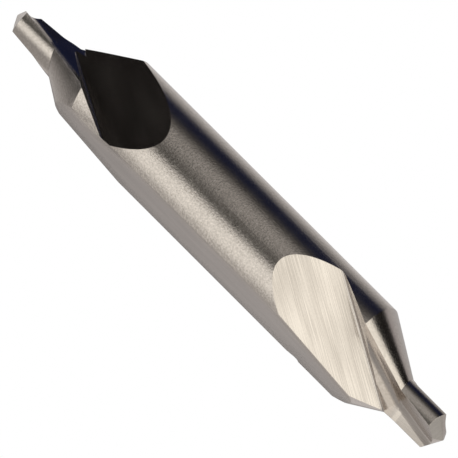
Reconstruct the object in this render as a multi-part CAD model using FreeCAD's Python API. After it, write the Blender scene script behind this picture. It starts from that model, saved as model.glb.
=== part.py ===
"""Double-ended centre drill with a clamping flat, ground from one blank of high-speed steel.

Both ends carry a short pilot with a 120 degree point, a 60 degree countersink and two flutes.
They are ground one after the other, so a few sizes differ a little between them. The drill
lies on its clamping flat. X runs along it, Z is up, and the origin is on the flat, midway
between the two points. Sizes are in millimetres, angles in degrees.
"""
import FreeCAD, Part
from collections import namedtuple
import math
import os

# Blank
overall_length = 54.6
body_radius = 5.0
axis_above_flat = 3.2

# Pilot and point
pilot_radius = 1.88
pilot_relief = 0.03
pilot_crest = -13.0
point_angle = 120.0
point_crest = -43.0
point_tilt = 4.0
flank_offset = 0.15

# Countersink
countersink_angle = 60.0
cone_crest = 3.0

# Flute, wheel pass over the body: a flat wall that meets a square side wall
wall_slope = 19.6
corner_skew = 26.7
corner_at = 12.0
corner_radius = 0.25

# Flute, wheel pass along the pilot: a floor that falls away from the rake face
floor_roll = 33.0
floor_blend_radius = 3.0
rake_ahead = 0.283
rake_lean = 11.3
rake_skew = 6.7
root_radius = 1.2

# Sizes of one end that its own grinding sets, measured from its point
End = namedtuple(
    "End",
    "pilot_length relief_at_pilot relief_at_body wall_on_axis_at corner_offset "
    "step_depth step_skew floor_below floor_slope",
)
near_end = End(5.15, 0.36, 0.40, 6.06, 1.44, 0.41, 0.0, 0.93, 0.5)
far_end = End(4.95, 0.75, 0.75, 5.35, 1.72, 0.25, 8.0, 0.67, 6.9)

# Longer than half of the drill, for the cutting blocks
REACH = overall_length + body_radius
AXIS = FreeCAD.Vector(1, 0, 0)
ORIGIN = FreeCAD.Vector(0, 0, 0)
tip_x = overall_length / 2


def vector(x, y, z):
    return FreeCAD.Vector(x, y, z)


def along_axis(distance_from_tip):
    """X of a place on the drill, from its distance behind the point of the +X end."""
    return tip_x - distance_from_tip


def around(azimuth):
    """Unit vector across the axis, turned from local +Z towards local +Y."""
    return vector(0, math.sin(math.radians(azimuth)), math.cos(math.radians(azimuth)))


def side_of(point, normal):
    """Large block that fills the side of a plane to which its normal points."""
    block = Part.makeBox(2 * REACH, 2 * REACH, REACH, vector(-REACH, -REACH, 0))
    block.Placement = FreeCAD.Placement(point, FreeCAD.Rotation(vector(0, 0, 1), normal))
    return block


def turned(shape, axis, angle):
    """Copy of a shape turned about an axis through the origin."""
    copy = shape.copy()
    copy.rotate(ORIGIN, axis, angle)
    return copy


def lies_on(edge, plane):
    point, normal = plane
    first, last = edge.FirstParameter, edge.LastParameter
    places = [edge.valueAt(t) for t in (first, (first + last) / 2, last)]
    return all(abs((place - point).dot(normal)) < 1e-4 for place in places)


def is_outer(edge):
    """True for the outer edges of a large cutting block, away from the drill."""
    middle = edge.valueAt((edge.FirstParameter + edge.LastParameter) / 2)
    return middle.z > 25.0 or abs(middle.y) > 25.0


def relieved_pilot(end):
    """Pilot whose two lands fall away behind their cutting edges."""
    start = along_axis(end.pilot_length + 3.0)
    length = tip_x + 1.0 - start
    across = around(pilot_crest - 90.0)
    halves = []
    for side in (1, -1):
        centre = vector(start, 0, 0) + across * (side * pilot_relief)
        halves.append(Part.makeCylinder(pilot_radius, length, centre, AXIS))
    return halves[0].common(halves[1])


def relieved_cone(end):
    """Countersink cone whose two lands fall away behind their cutting edges."""
    slope = math.tan(math.radians(countersink_angle / 2))
    inner = pilot_radius - 0.9
    outer = body_radius + 1.4
    foot = along_axis(end.pilot_length)
    small_end = foot + (pilot_radius - inner) / slope
    large_end = foot - (outer - pilot_radius) / slope
    run = (body_radius - pilot_radius) / slope
    tilt = math.degrees(math.atan((end.relief_at_body - end.relief_at_pilot) / run))
    halves = []
    for side in (1, -1):
        cone = Part.makeCone(outer, inner, small_end - large_end, vector(large_end, 0, 0), AXIS)
        cone.rotate(vector(foot, 0, 0), around(cone_crest), side * tilt)
        cone.translate(around(cone_crest - 90.0) * (side * end.relief_at_pilot))
        halves.append(cone)
    return halves[0].common(halves[1])


def point_flanks():
    """Two flanks of the point, that fall away behind the lips and meet in a chisel edge."""
    slope = math.tan(math.radians(point_angle / 2))
    length = REACH / slope
    crest = around(point_crest)
    aside = crest.cross(AXIS) * flank_offset
    forward = AXIS * (flank_offset / slope)
    flanks = []
    for side in (1, -1):
        cone = Part.makeCone(REACH, 0, length, vector(tip_x - length, 0, 0), AXIS)
        cone.rotate(vector(tip_x, 0, 0), crest, side * point_tilt)
        cone.translate(forward - aside * side)
        flanks.append(cone)
    return flanks


def wall_plane(end, depth):
    """Flat flute wall, or the floor that lies deeper and parallel to it."""
    slope = math.radians(wall_slope)
    normal = vector(math.sin(slope), 0, math.cos(slope))
    return vector(along_axis(end.wall_on_axis_at), 0, 0) - normal * depth, normal


def corner_plane(end, extra_skew):
    """Square side wall of a wheel pass; the normal points into the land."""
    point, normal = wall_plane(end, 0.0)
    skew = math.radians(corner_skew + extra_skew)
    start = vector(along_axis(corner_at), end.corner_offset, 0)
    start.z = (point.x - start.x) * normal.x / normal.z
    direction = vector(math.cos(skew), -math.sin(skew), -math.cos(skew) * normal.x / normal.z)
    return start, normal.cross(direction.normalize())


def rolled(normal):
    """Normal turned about the axis, so that its plane falls away from the rake face."""
    return FreeCAD.Rotation(AXIS, floor_roll).multVec(normal)


def outer_edge(end, distance_from_tip):
    """Place on the pilot where its floor runs out, on the side away from the rake face."""
    aside = math.sqrt(pilot_radius**2 - end.floor_below**2)
    return vector(along_axis(distance_from_tip), -aside, -end.floor_below)


def pilot_floor_plane(end):
    slope = math.radians(end.floor_slope)
    return outer_edge(end, end.pilot_length), rolled(vector(math.sin(slope), 0, math.cos(slope)))


def deep_wall_plane(end):
    """Wall of the pilot pass, a step deeper than the body's where the floor runs out."""
    point, normal = wall_plane(end, end.step_depth)
    point.y = outer_edge(end, 0.0).y
    return point, rolled(normal)


def rake_plane(end):
    """Rake face under the lips; the normal points into the open flute."""
    lean = math.tan(math.radians(rake_lean))
    skew = math.tan(math.radians(rake_skew))
    point = vector(along_axis(end.pilot_length), -rake_ahead, 0)
    return point, vector(-skew, -1.0, lean).normalize()


def body_pass(end):
    """What the wheel removes in its pass over the body."""
    wall = wall_plane(end, 0.0)
    start, into_land = corner_plane(end, 0.0)
    cut = side_of(*wall).common(side_of(start, into_land * -1))
    corner = [edge for edge in cut.Edges if lies_on(edge, wall) and lies_on(edge, (start, into_land))]
    return cut.makeFillet(corner_radius, corner)


def pilot_pass(end):
    """What the wheel removes in its pass along the pilot and the countersink."""
    deep_wall = deep_wall_plane(end)
    floor = pilot_floor_plane(end)
    rake = rake_plane(end)
    cut = side_of(*deep_wall).common(side_of(*floor))
    bend = [edge for edge in cut.Edges if lies_on(edge, deep_wall) and lies_on(edge, floor)]
    cut = cut.makeFillet(floor_blend_radius, bend).common(side_of(*rake))
    root = [edge for edge in cut.Edges if lies_on(edge, rake) and not is_outer(edge)]
    cut = cut.makeFillet(root_radius, root)
    return cut.common(side_of(*corner_plane(end, end.step_skew)))


def ground_end(end):
    """Pilot, countersink and point of the +X end, before the flutes are cut."""
    foot = along_axis(end.pilot_length)
    run = (body_radius + 1.4 - pilot_radius) / math.tan(math.radians(countersink_angle / 2))
    body = Part.makeCylinder(body_radius, REACH, vector(tip_x - REACH, 0, 0), AXIS)
    cone = relieved_cone(end).common(body)
    shank = Part.makeCylinder(body_radius, foot - run + 1.0, ORIGIN, AXIS)
    whole = cone.fuse(shank).removeSplitter().fuse(relieved_pilot(end))
    for flank in point_flanks():
        whole = whole.common(flank)
    return whole


def fluted_end(end):
    """The +X half of the drill on its own axis, with both flutes."""
    half = ground_end(end)
    for turn in (0.0, 180.0):
        for cut in (body_pass(end), pilot_pass(end)):
            half = half.cut(turned(cut, AXIS, turn))
    return turned(half, AXIS, 90.0)


def build_drill():
    """Both ends, joined at the middle, with the clamping flat along the whole body."""
    far_half = turned(fluted_end(far_end), vector(0, 0, 1), 180.0)
    drill = fluted_end(near_end).fuse(far_half)
    drill = drill.cut(side_of(vector(0, 0, -axis_above_flat), vector(0, 0, -1)))
    drill.translate(vector(0, 0, axis_above_flat))
    return drill.removeSplitter()


os.makedirs("parts", exist_ok=True)
drill = build_drill()
solids = drill.Solids
assert len(solids) == 1 and solids[0].isValid(), "the drill must be one valid solid"
solids[0].exportStep("parts/centre_drill.step")
print("volume mm3", round(solids[0].Volume, 1), "faces", len(solids[0].Faces))
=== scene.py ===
"""Centre drill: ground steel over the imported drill, and the studio it is seen in."""
from collections import namedtuple
import math

import bpy
from mathutils import Matrix, Vector


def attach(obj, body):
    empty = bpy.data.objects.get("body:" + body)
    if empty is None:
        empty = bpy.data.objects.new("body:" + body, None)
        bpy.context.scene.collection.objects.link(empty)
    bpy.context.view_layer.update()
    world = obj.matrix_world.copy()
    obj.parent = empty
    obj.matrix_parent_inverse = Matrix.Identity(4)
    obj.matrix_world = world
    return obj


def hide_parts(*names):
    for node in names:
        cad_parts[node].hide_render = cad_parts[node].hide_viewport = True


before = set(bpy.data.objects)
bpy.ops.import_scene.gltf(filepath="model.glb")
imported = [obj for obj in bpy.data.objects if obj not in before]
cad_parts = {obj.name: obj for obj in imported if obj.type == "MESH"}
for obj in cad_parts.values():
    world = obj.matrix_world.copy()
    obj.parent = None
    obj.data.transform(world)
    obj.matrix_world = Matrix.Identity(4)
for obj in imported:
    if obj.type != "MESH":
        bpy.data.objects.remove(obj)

bl_info = {
    "name": "Centre drill finish",
    "version": (1, 0, 0),
    "blender": (4, 5, 0),
    "location": "View3D > Sidebar > Centre drill",
    "description": "Dresses the packed centre drill in ground steel and sets up its studio",
    "category": "Object",
}

NODE = "centre_drill"
MM = 0.001

# Way along the drill, towards its near end
ALONG_DRILL = Vector((1, 0, 0))

# Places on the drill, in millimetres
AXIS_HEIGHT = 3.2
SHANK_RADIUS = 5.0

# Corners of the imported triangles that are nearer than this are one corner, in millimetres
MERGE_DISTANCE = 0.001

# Ways of the grinding wheel over the flutes
WALL_SLOPE = math.radians(19.6)
CORNER_SKEW = math.radians(26.7)
RAKE_SKEW = math.radians(6.7)

# What tells one ground face from another: how near its middle is to the flat and to the
# shank's wall, in millimetres, and how its normal lies, as cosines of angles
NEAR_FLAT = 0.05
NEAR_SHANK = 0.15
FACES_DOWN = 0.999
FACES_ALONG_SHANK = 0.02
FACES_AS_WALL = 0.998
FACES_END = 0.75
FACES_OUT = 0.78

# Finish of a ground surface: its roughness, the depth of its marks in millimetres, how
# strongly the marks and the soft patches show in the colour, how much of the marks is
# an even grain and not lines, and how far its edges roll over, in millimetres
Finish = namedtuple("Finish", "roughness depth marks patches grain edge")
FINISHES = {
    # Shank, rolled between two wheels: an even grain, over which reflections stay crisp
    "centreless_ground_steel": Finish(
        roughness=0.19, depth=0.014, marks=2.3, patches=0.3, grain=1.0, edge=0.05
    ),
    # Clamping flat, pressed on a belt: smooth grey, with long edges that roll over softly
    "belt_ground_steel": Finish(
        roughness=0.22, depth=0.002, marks=0.9, patches=0.6, grain=0.4, edge=3.5
    ),
    # Lands behind the cutting edges, backed off by a fine wheel: a short grain, and shinier
    "relief_ground_steel": Finish(
        roughness=0.17, depth=0.009, marks=1.6, patches=0.3, grain=0.9, edge=0.05
    ),
    # Points, dressed last: plain and even, with hardly a mark
    "point_ground_steel": Finish(
        roughness=0.22, depth=0.002, marks=0.6, patches=0.2, grain=0.3, edge=0.05
    ),
    # Flat walls, one pass of a coarse wheel: long bright lines, clear to see
    "wall_ground_steel": Finish(
        roughness=0.20, depth=0.003, marks=2.6, patches=1.9, grain=0.15, edge=0.03
    ),
    # Floors and rake faces of the flutes: faint lines, nearly in line with the drill
    "flute_ground_steel": Finish(
        roughness=0.20, depth=0.002, marks=1.2, patches=1.0, grain=0.25, edge=0.03
    ),
}

# Steps of finer detail in each pattern, and how strong the finer ones are in the grain
GRAIN_DETAIL = 3.0
GRAIN_BITE = 0.65
LINE_DETAIL = 3.0
PATCH_DETAIL = 1.0

# How far the roughness swings between patches, and how many rays look for a near edge
GLOSS_SWING = 0.08
EDGE_SAMPLES = 6

# Sockets of the Mix node, where several have the same name
NUMBER_A, NUMBER_B = 2, 3
COLOUR_A, COLOUR_B = 6, 7
COLOUR_OUT = 2

# Photograph: its side in pixels, and pixels per millimetre at the drill
PHOTO_PIXELS = 458
PIXELS_PER_MM = 11.78

# Camera: way from the drill to the camera, the way to the right in the picture, and the
# place in its middle, in millimetres
TOWARDS_CAMERA = Vector((0.3527, -0.9126, -0.2068)).normalized()
PICTURE_RIGHT = Vector((0.6643, 0.0873, 0.7463)).normalized()
LOOK_AT_MM = Vector((0.152, 0.0275, 3.079))

# The camera's sensor in millimetres, and its clipping ends as shares of its distance
SENSOR_WIDTH = 36.0
CLIP_NEAR = 0.1
CLIP_FAR = 3.0

# Floor, a hair under the flat in millimetres, and the lamp over it in metres
FLOOR_DROP = 0.02
LAMP_HEIGHT = 0.6
LAMP_SIZE = 0.5

# World: the background that is seen and reflected, and the light it gives
BACKGROUND_WHITE = "#ffffff"
PLAIN_LIGHT = "#e0e0e0"

# Paper, card and cloth of the studio's screens, from light to dark
WINDOW_CREAM = "#fffaee"
WHITE_PAPER = "#f5f1e9"
WINDOW_TAN = "#d4cdc3"
PALE_PAPER = "#cbc7c5"
PEARL_CARD = "#c4c1be"
SILVER_CARD = "#b5b3b2"
STONE_CARD = "#b0aea9"
MIST_CARD = "#b0acaa"
WINDOW_FRAME = "#aea89f"
ASH_CARD = "#a5a19f"
DOVE_CARD = "#a29c9a"
GREY_PAPER = "#a19d98"
DULL_PAPER = "#9d9995"
PEWTER_CARD = "#9a9694"
LEAD_CARD = "#96928f"
SHADED_GAP = "#605e5a"
SLATE_CARD = "#4d4b49"
CHARCOAL = "#3e3c3a"
SOOT_CARD = "#2a2827"
NAVY_CLOTH = "#161a30"
BLACK_CLOTH = "#171514"

# Curved screen round the drill, with its radius in metres and its angles in degrees. Lean is
# the angle from the near end's way, and turn goes round the drill from the camera's side, up
# over the top. The strips are its colours, each at an angle along one of the two.
Screen = namedtuple("Screen", "radius lean turn strips_along strips")
SCREENS = {
    # Tent all round the drill: its strips are the bands along the shank
    "tent": Screen(
        radius=1.0,
        lean=(20, 160),
        turn=(-180, 180),
        strips_along="turn",
        strips=(
            (-180, PALE_PAPER),
            (-130, PALE_PAPER),
            (-100, DULL_PAPER),
            (-52, DULL_PAPER),
            (-30, WHITE_PAPER),
            (-4, WHITE_PAPER),
            (7, SHADED_GAP),
            (16, SHADED_GAP),
            (38, GREY_PAPER),
            (56, GREY_PAPER),
            (78, CHARCOAL),
            (92, NAVY_CLOTH),
            (111, NAVY_CLOTH),
            (131, DULL_PAPER),
            (155, PALE_PAPER),
            (180, PALE_PAPER),
        ),
    ),
    # Window that lights up the near flute's wall
    "near_window": Screen(
        radius=0.95,
        lean=(50, 80),
        turn=(-60, 85),
        strips_along="turn",
        strips=(
            (-60, WINDOW_FRAME),
            (-42, WINDOW_TAN),
            (-15, WINDOW_CREAM),
            (85, WINDOW_CREAM),
        ),
    ),
    # Card beyond the near end, for the near point
    "near_card": Screen(
        radius=0.95,
        lean=(0, 45),
        turn=(-180, 180),
        strips_along="turn",
        strips=(
            (-180, STONE_CARD),
            (180, STONE_CARD),
        ),
    ),
    # Bright card low in front, for the floor of the near pilot's flute
    "floor_card": Screen(
        radius=0.94,
        lean=(90, 105),
        turn=(-50, -32),
        strips_along="turn",
        strips=(
            (-50, WHITE_PAPER),
            (-32, WINDOW_CREAM),
        ),
    ),
    # Cloth and card over the top, for the near lands
    "near_flag": Screen(
        radius=0.95,
        lean=(60, 105),
        turn=(86, 180),
        strips_along="turn",
        strips=(
            (86, CHARCOAL),
            (94, BLACK_CLOTH),
            (117, BLACK_CLOTH),
            (124, DOVE_CARD),
            (140, MIST_CARD),
            (180, SILVER_CARD),
        ),
    ),
    # Cloth that makes the far flute's wall black
    "far_flag": Screen(
        radius=0.95,
        lean=(115, 175),
        turn=(-10, 150),
        strips_along="turn",
        strips=(
            (-10, BLACK_CLOTH),
            (85, BLACK_CLOTH),
            (105, NAVY_CLOTH),
            (150, NAVY_CLOTH),
        ),
    ),
    # Card below the far end, for the far lands
    "far_card": Screen(
        radius=0.95,
        lean=(125, 180),
        turn=(-180, -55),
        strips_along="turn",
        strips=(
            (-180, PEARL_CARD),
            (-120, LEAD_CARD),
            (-85, SLATE_CARD),
            (-55, SOOT_CARD),
        ),
    ),
    # Card close under the drill, so that the clamping flat is shaded along its length
    "flat_card": Screen(
        radius=0.16,
        lean=(90, 130),
        turn=(-180, -130),
        strips_along="lean",
        strips=(
            (108, ASH_CARD),
            (118, PEWTER_CARD),
        ),
    ),
}
SCREEN_SEGMENTS = 72
SCREEN_RINGS = 36


def linear(code):
    """Linear colour with alpha 1 from an sRGB hex code."""
    values = [int(code[i:i + 2], 16) / 255 for i in (1, 3, 5)]
    return [v / 12.92 if v <= 0.04045 else ((v + 0.055) / 1.055) ** 2.4 for v in values] + [1.0]


def add_node(tree, kind, inputs=None, **settings):
    """Adds a node, sets its properties, and links or fills its inputs by name or number."""
    node = tree.nodes.new(kind)
    for name, value in settings.items():
        setattr(node, name, value)
    for key, value in (inputs or {}).items():
        if isinstance(value, bpy.types.NodeSocket):
            tree.links.new(value, node.inputs[key])
        else:
            node.inputs[key].default_value = value
    return node


def new_tree(owner):
    """Empty node tree of a new material or world."""
    owner.use_nodes = True
    owner.node_tree.nodes.clear()
    return owner.node_tree


def make_active(obj):
    """Deselects everything but one object, which the next operators act on."""
    for other in bpy.context.selected_objects:
        other.select_set(False)
    obj.select_set(True)
    bpy.context.view_layer.objects.active = obj


def turned_to(x_way, y_way, z_way):
    """Turn that takes the three axes to three ways square to each other."""
    return Matrix((x_way, y_way, z_way)).transposed().to_4x4()


class DRILL_PG_finish(bpy.types.PropertyGroup):
    """Looks of the ground steel. The grit's real lines are about a hundredth of a millimetre
    wide, too fine for the render, so grain and lines are drawn as coarse as they need to show."""

    steel_low: bpy.props.FloatVectorProperty(
        name="Steel, low",
        description="Steel colour in the valleys of the marks",
        subtype="COLOR", size=4, min=0.0, max=1.0, default=linear("#c9c3be"),
    )
    steel_high: bpy.props.FloatVectorProperty(
        name="Steel, high",
        description="Steel colour on the crests of the marks",
        subtype="COLOR", size=4, min=0.0, max=1.0, default=linear("#f1ebe6"),
    )
    grain_size: bpy.props.FloatProperty(
        name="Grain size",
        description="Size of the shank's grain",
        unit="LENGTH", min=0.01 * MM, default=0.18 * MM,
    )
    mark_width: bpy.props.FloatProperty(
        name="Mark width",
        description="Width of one line of the wheel",
        unit="LENGTH", min=0.01 * MM, default=0.08 * MM,
    )
    mark_length: bpy.props.FloatProperty(
        name="Mark length",
        description="Length of one line of the wheel",
        unit="LENGTH", min=0.01 * MM, default=6.0 * MM,
    )
    patch_width: bpy.props.FloatProperty(
        name="Patch width",
        description="Width of the soft patches between the lines",
        unit="LENGTH", min=0.01 * MM, default=1.5 * MM,
    )
    patch_length: bpy.props.FloatProperty(
        name="Patch length",
        description="Length of the soft patches between the lines",
        unit="LENGTH", min=0.01 * MM, default=7.0 * MM,
    )


class DRILL_PG_stage(bpy.types.PropertyGroup):
    """Camera, floor and light"""

    lens: bpy.props.FloatProperty(
        name="Lens",
        description="Focal length, long enough for nearly parallel rays",
        unit="CAMERA", min=1.0, default=1500.0,
    )
    window_level: bpy.props.FloatProperty(
        name="Window level",
        description="Brightness of the window that the near flute shows",
        min=0.0, default=1.11,
    )
    lamp_power: bpy.props.FloatProperty(
        name="Lamp power",
        description="Power of the soft lamp over the floor",
        unit="POWER", min=0.0, default=1.1,
    )
    floor_size: bpy.props.FloatProperty(
        name="Floor size",
        description="Side of the floor",
        unit="LENGTH", min=0.1, default=1.6,
    )
    floor_colour: bpy.props.FloatVectorProperty(
        name="Floor",
        description="Colour of the floor",
        subtype="COLOR", size=4, min=0.0, max=1.0, default=linear("#f2f1ef"),
    )


class DRILL_OT_skin(bpy.types.Operator):
    """Makes the drill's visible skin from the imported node"""

    bl_idname = "drill.skin"
    bl_label = "Ground skin"

    def execute(self, context):
        skin = bpy.data.objects.new("ground_drill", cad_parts[NODE].data.copy())
        context.scene.collection.objects.link(skin)
        merge_keeping_normals(skin)
        grind(skin, context.scene.drill_finish)
        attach(skin, "root")
        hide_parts(NODE)
        return {"FINISHED"}


def merge_keeping_normals(skin):
    """Closes the loose triangles, with the CAD's own normals, so that the edges stay crisp."""
    normals = [corner.vector.copy() for corner in skin.data.corner_normals]
    make_active(skin)
    bpy.ops.object.mode_set(mode="EDIT")
    bpy.ops.mesh.select_all(action="SELECT")
    bpy.ops.mesh.remove_doubles(threshold=MERGE_DISTANCE * MM)
    bpy.ops.object.mode_set(mode="OBJECT")
    if len(skin.data.loops) != len(normals):
        raise RuntimeError("a face was lost while the skin was merged")
    skin.data.normals_split_custom_set(normals)


def flute_of(centre):
    """Which end a place is on, 1 or -1 as its X, and 1 for its flute that faces -Y, else -1."""
    return math.copysign(1.0, centre.x), math.copysign(1.0, -centre.y)


def wall_normal(end, side):
    """Outward normal of the flat wall that the wheel leaves on the body."""
    return Vector((end * math.sin(WALL_SLOPE), -side * math.cos(WALL_SLOPE), 0))


def wheel_way(finish, end, side):
    """Way of the wheel's lines: along the wall's corner, or nearly in line with the drill."""
    if finish == "wall_ground_steel":
        return Vector((end, side * math.tan(WALL_SLOPE), -end * side * math.tan(CORNER_SKEW)))
    return Vector((end, 0, -end * side * math.tan(RAKE_SKEW)))


def finish_of(centre, normal):
    """Name of the ground finish of a face, from its centre in millimetres and its normal."""
    across = Vector((0, centre.y, centre.z - AXIS_HEIGHT))
    if centre.z < NEAR_FLAT and -normal.z > FACES_DOWN:
        return "belt_ground_steel"
    if across.length > SHANK_RADIUS - NEAR_SHANK and abs(normal.x) < FACES_ALONG_SHANK:
        return "centreless_ground_steel"
    if normal.dot(wall_normal(*flute_of(centre))) > FACES_AS_WALL:
        return "wall_ground_steel"
    if abs(normal.x) > FACES_END:
        return "point_ground_steel"
    if normal.dot(across.normalized()) > FACES_OUT:
        return "relief_ground_steel"
    return "flute_ground_steel"


def mark_place(finish, place, centre, normal):
    """Millimetres along and across the wheel's lines at a place on a face."""
    if finish == "belt_ground_steel":
        return place.x, place.y
    if finish in ("wall_ground_steel", "flute_ground_steel"):
        way = wheel_way(finish, *flute_of(centre))
        way = (way - normal * way.dot(normal)).normalized()
        return place.dot(way), place.dot(normal.cross(way))
    middle = math.atan2(centre.y, centre.z - AXIS_HEIGHT)
    angle = math.atan2(place.y, place.z - AXIS_HEIGHT)
    angle += 2 * math.pi * round((middle - angle) / (2 * math.pi))
    return angle * SHANK_RADIUS, place.x


def grind(skin, settings):
    """Gives each face its ground steel, and a map in millimetres along and across the lines."""
    mesh = skin.data
    mesh.materials.clear()
    names = list(FINISHES)
    for name in names:
        mesh.materials.append(ground_steel(name, FINISHES[name], settings))
    layer = mesh.uv_layers.new(name="wheel_lines")
    for polygon in mesh.polygons:
        centre = polygon.center / MM
        finish = finish_of(centre, polygon.normal)
        polygon.material_index = names.index(finish)
        for loop in polygon.loop_indices:
            place = mesh.vertices[mesh.loops[loop].vertex_index].co / MM
            layer.data[loop].uv = mark_place(finish, place, centre, polygon.normal)


def ground_steel(name, finish, settings):
    """High-speed steel fresh from the wheel: bright and a little warm, with fine lines or grain."""
    material = bpy.data.materials.new(name)
    tree = new_tree(material)
    place = add_node(tree, "ShaderNodeTexCoord").outputs["Object"]
    wheel_map = add_node(tree, "ShaderNodeUVMap", uv_map="wheel_lines").outputs[0]

    # Grain of the wheel's grit, the same in all directions
    grain = add_node(tree, "ShaderNodeTexNoise", {
        "Vector": place,
        "Scale": 1 / settings.grain_size,
        "Detail": GRAIN_DETAIL,
        "Roughness": GRAIN_BITE,
    })

    # Long fine lines along the wheel's way, on a map in millimetres
    line_scale = (MM / settings.mark_length, MM / settings.mark_width, 1)
    line_place = add_node(tree, "ShaderNodeMapping", {"Vector": wheel_map, "Scale": line_scale})
    lines = add_node(tree, "ShaderNodeTexNoise", {
        "Vector": line_place.outputs[0], "Scale": 1.0, "Detail": LINE_DETAIL,
    })

    # Wide soft patches between the lines
    patch_scale = (MM / settings.patch_length, MM / settings.patch_width, 1)
    patch_place = add_node(tree, "ShaderNodeMapping", {"Vector": wheel_map, "Scale": patch_scale})
    patches = add_node(tree, "ShaderNodeTexNoise", {
        "Vector": patch_place.outputs[0], "Scale": 1.0, "Detail": PATCH_DETAIL,
    })

    # Height of the marks, from low at 0 to high at 1
    marks = add_node(tree, "ShaderNodeMix", {
        "Factor": finish.grain, NUMBER_A: lines.outputs[0], NUMBER_B: grain.outputs[0],
    })

    # Tone of the steel, which marks and patches shift both ways from halfway
    middle = 0.5 - 0.5 * (finish.marks + finish.patches)
    shade = add_node(tree, "ShaderNodeMath", {
        0: patches.outputs[0], 1: finish.patches, 2: middle,
    }, operation="MULTIPLY_ADD")
    tone = add_node(tree, "ShaderNodeMath", {
        0: marks.outputs[0], 1: finish.marks, 2: shade.outputs[0],
    }, operation="MULTIPLY_ADD", use_clamp=True)
    colour = add_node(tree, "ShaderNodeMix", {
        "Factor": tone.outputs[0], COLOUR_A: settings.steel_low, COLOUR_B: settings.steel_high,
    }, data_type="RGBA")

    # Gloss that the patches change a little, over edges that roll over and marks that stand up
    gloss = add_node(tree, "ShaderNodeMath", {
        0: patches.outputs[0], 1: GLOSS_SWING, 2: finish.roughness - GLOSS_SWING / 2,
    }, operation="MULTIPLY_ADD")
    edge = add_node(
        tree, "ShaderNodeBevel", {"Radius": finish.edge * MM}, samples=EDGE_SAMPLES
    )
    bump = add_node(tree, "ShaderNodeBump", {
        "Height": marks.outputs[0], "Distance": finish.depth * MM, "Normal": edge.outputs[0],
    })
    shader = add_node(tree, "ShaderNodeBsdfPrincipled", {
        "Metallic": 1.0,
        "Base Color": colour.outputs[COLOUR_OUT],
        "Roughness": gloss.outputs[0],
        "Normal": bump.outputs[0],
    })
    add_node(tree, "ShaderNodeOutputMaterial", {"Surface": shader.outputs[0]})
    return material


class DRILL_OT_stage(bpy.types.Operator):
    """Makes the floor, the studio light and the camera"""

    bl_idname = "drill.stage"
    bl_label = "Stage"

    def execute(self, context):
        settings = context.scene.drill_stage
        make_floor(settings)
        make_world(context.scene)
        for name, screen in SCREENS.items():
            level = settings.window_level if name == "near_window" else 1.0
            make_screen(name, screen, level)
        make_lamp(context.scene, settings)
        make_camera(context.scene, settings)
        context.scene.view_settings.view_transform = "Standard"
        return {"FINISHED"}


def make_floor(settings):
    """Pale floor that shows from above only, so that a low camera sees past it."""
    bpy.ops.mesh.primitive_plane_add(size=settings.floor_size, location=(0, 0, -FLOOR_DROP * MM))
    floor = bpy.context.object
    floor.name = "floor"
    material = bpy.data.materials.new("floor")
    tree = new_tree(material)
    paint = add_node(tree, "ShaderNodeBsdfDiffuse", {"Color": settings.floor_colour})
    clear = add_node(tree, "ShaderNodeBsdfTransparent")
    below = add_node(tree, "ShaderNodeNewGeometry").outputs["Backfacing"]
    camera_ray = add_node(tree, "ShaderNodeLightPath").outputs["Is Camera Ray"]
    shown = add_node(
        tree, "ShaderNodeMath", {0: camera_ray, 1: below}, operation="SUBTRACT", use_clamp=True
    )
    mixed = add_node(tree, "ShaderNodeMixShader", {
        0: shown.outputs[0], 1: clear.outputs[0], 2: paint.outputs[0],
    })
    add_node(tree, "ShaderNodeOutputMaterial", {"Surface": mixed.outputs[0]})
    floor.data.materials.append(material)


def make_world(scene):
    """White surround, that lights the floor at a plain level."""
    world = bpy.data.worlds.new("studio")
    scene.world = world
    tree = new_tree(world)
    path = add_node(tree, "ShaderNodeLightPath").outputs
    shown = path["Is Camera Ray"]
    for ray in ("Is Glossy Ray", "Is Transmission Ray"):
        both = add_node(tree, "ShaderNodeMath", {0: shown, 1: path[ray]}, operation="MAXIMUM")
        shown = both.outputs[0]
    colour = add_node(tree, "ShaderNodeMix", {
        "Factor": shown, COLOUR_A: linear(PLAIN_LIGHT), COLOUR_B: linear(BACKGROUND_WHITE),
    }, data_type="RGBA")
    back = add_node(tree, "ShaderNodeBackground", {
        "Color": colour.outputs[COLOUR_OUT], "Strength": 1.0,
    })
    add_node(tree, "ShaderNodeOutputWorld", {"Surface": back.outputs[0]})


def studio_ways():
    """The camera's side of the drill and the way up over it, both square to the drill."""
    front = Vector((0, TOWARDS_CAMERA.y, TOWARDS_CAMERA.z)).normalized()
    return front, front.cross(ALONG_DRILL)


def turn_and_lean(way):
    """Where a way points in the studio, in degrees: round the drill, and from the near end."""
    front, over = studio_ways()
    turn = math.degrees(math.atan2(way.dot(over), way.dot(front)))
    return turn, math.degrees(way.angle(ALONG_DRILL))


def screen_map(turn, lean):
    """Place on a screen's map, from 0 to 1 both ways, of a turn and a lean in degrees."""
    return turn / 360 + 0.5, lean / 180


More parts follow.
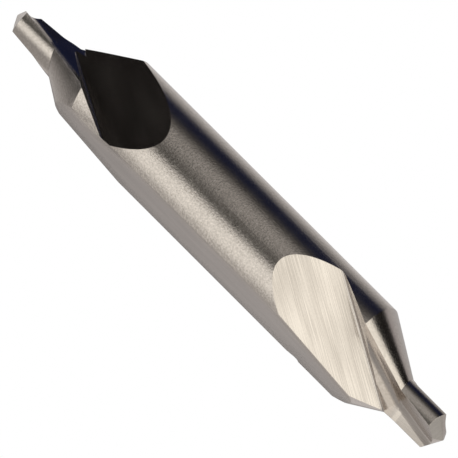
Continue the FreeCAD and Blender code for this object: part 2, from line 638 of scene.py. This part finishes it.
def make_screen(name, screen, level):
    """Part of a sphere round the drill, lit in strips, that only reflections meet."""
    front, over = studio_ways()
    bpy.ops.mesh.primitive_uv_sphere_add(
        segments=SCREEN_SEGMENTS, ring_count=SCREEN_RINGS, radius=screen.radius
    )
    shell = bpy.context.object
    shell.name = name
    centre = Matrix.Translation((0, 0, AXIS_HEIGHT * MM))
    shell.matrix_world = centre @ turned_to(front, over, front.cross(over))
    bpy.ops.object.transform_apply(location=False)
    bpy.ops.object.mode_set(mode="EDIT")
    bpy.ops.mesh.select_all(action="DESELECT")
    bpy.ops.object.mode_set(mode="OBJECT")
    mesh = shell.data
    for polygon in mesh.polygons:
        turn, lean = turn_and_lean(polygon.center)
        in_lean = screen.lean[0] < lean < screen.lean[1]
        in_turn = screen.turn[0] < turn < screen.turn[1]
        polygon.select = not (in_lean and in_turn)
        for loop in polygon.loop_indices:
            corner = mesh.vertices[mesh.loops[loop].vertex_index].co
            corner_turn, corner_lean = turn_and_lean(corner)
            corner_turn += 360 * round((turn - corner_turn) / 360)
            mesh.uv_layers[0].data[loop].uv = screen_map(corner_turn, corner_lean)
    bpy.ops.object.mode_set(mode="EDIT")
    bpy.ops.mesh.delete(type="FACE")
    bpy.ops.object.mode_set(mode="OBJECT")
    mesh.materials.append(lit_paper(name, screen, level))
    for kind in ("camera", "diffuse", "transmission", "volume_scatter", "shadow"):
        setattr(shell, "visible_" + kind, False)


def lit_paper(name, screen, level):
    """Glow of a screen, in strips along its turn or its lean."""
    material = bpy.data.materials.new(name)
    tree = new_tree(material)
    map_place = add_node(tree, "ShaderNodeTexCoord").outputs["UV"]
    parts = add_node(tree, "ShaderNodeSeparateXYZ", {"Vector": map_place})
    along = ("turn", "lean").index(screen.strips_along)
    ramp = add_node(tree, "ShaderNodeValToRGB", {"Fac": parts.outputs[along]})
    stops = ramp.color_ramp.elements
    while len(stops) < len(screen.strips):
        stops.new(1.0)
    for stop, (degrees, paper) in zip(stops, screen.strips):
        stop.position = screen_map(degrees, degrees)[along]
        stop.color = linear(paper)
    glow = add_node(tree, "ShaderNodeEmission", {"Color": ramp.outputs[0], "Strength": level})
    add_node(tree, "ShaderNodeOutputMaterial", {"Surface": glow.outputs[0]})
    return material


def make_lamp(scene, settings):
    """Soft lamp over the floor, for the drill's shadow there; the screens light the steel."""
    data = bpy.data.lights.new("lamp", "AREA")
    data.size = LAMP_SIZE
    data.energy = settings.lamp_power
    lamp = bpy.data.objects.new("lamp", data)
    lamp.location = (0, 0, LAMP_HEIGHT)
    lamp.visible_glossy = False
    scene.collection.objects.link(lamp)


def make_camera(scene, settings):
    """Camera at the photograph's angle, far off behind a long lens."""
    data = bpy.data.cameras.new("camera")
    data.lens = settings.lens
    data.sensor_width = SENSOR_WIDTH
    camera = bpy.data.objects.new("camera", data)
    scene.collection.objects.link(camera)
    up = TOWARDS_CAMERA.cross(PICTURE_RIGHT).normalized()
    right = up.cross(TOWARDS_CAMERA)
    distance = PHOTO_PIXELS / PIXELS_PER_MM * MM * settings.lens / SENSOR_WIDTH
    place = Matrix.Translation(LOOK_AT_MM * MM + TOWARDS_CAMERA * distance)
    camera.matrix_world = place @ turned_to(right, up, TOWARDS_CAMERA)
    data.clip_start = CLIP_NEAR * distance
    data.clip_end = CLIP_FAR * distance
    scene.camera = camera


class DRILL_PT_panel(bpy.types.Panel):
    """Settings of the drill, with one button for each step"""

    bl_idname = "DRILL_PT_panel"
    bl_label = "Centre drill"
    bl_space_type = "VIEW_3D"
    bl_region_type = "UI"
    bl_category = "Centre drill"

    def draw(self, context):
        scene = context.scene
        steps = ((scene.drill_finish, "drill.skin"), (scene.drill_stage, "drill.stage"))
        for group, operator in steps:
            box = self.layout.box()
            for name in type(group).__annotations__:
                box.prop(group, name)
            box.operator(operator)


CLASSES = (DRILL_PG_finish, DRILL_PG_stage, DRILL_OT_skin, DRILL_OT_stage, DRILL_PT_panel)


def register():
    for item in CLASSES:
        bpy.utils.register_class(item)
    bpy.types.Scene.drill_finish = bpy.props.PointerProperty(type=DRILL_PG_finish)
    bpy.types.Scene.drill_stage = bpy.props.PointerProperty(type=DRILL_PG_stage)


def unregister():
    del bpy.types.Scene.drill_stage
    del bpy.types.Scene.drill_finish
    for item in reversed(CLASSES):
        bpy.utils.unregister_class(item)


def main():
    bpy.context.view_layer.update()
    register()
    bpy.ops.drill.skin()
    bpy.ops.drill.stage()


if __name__ == "__main__":
    main()
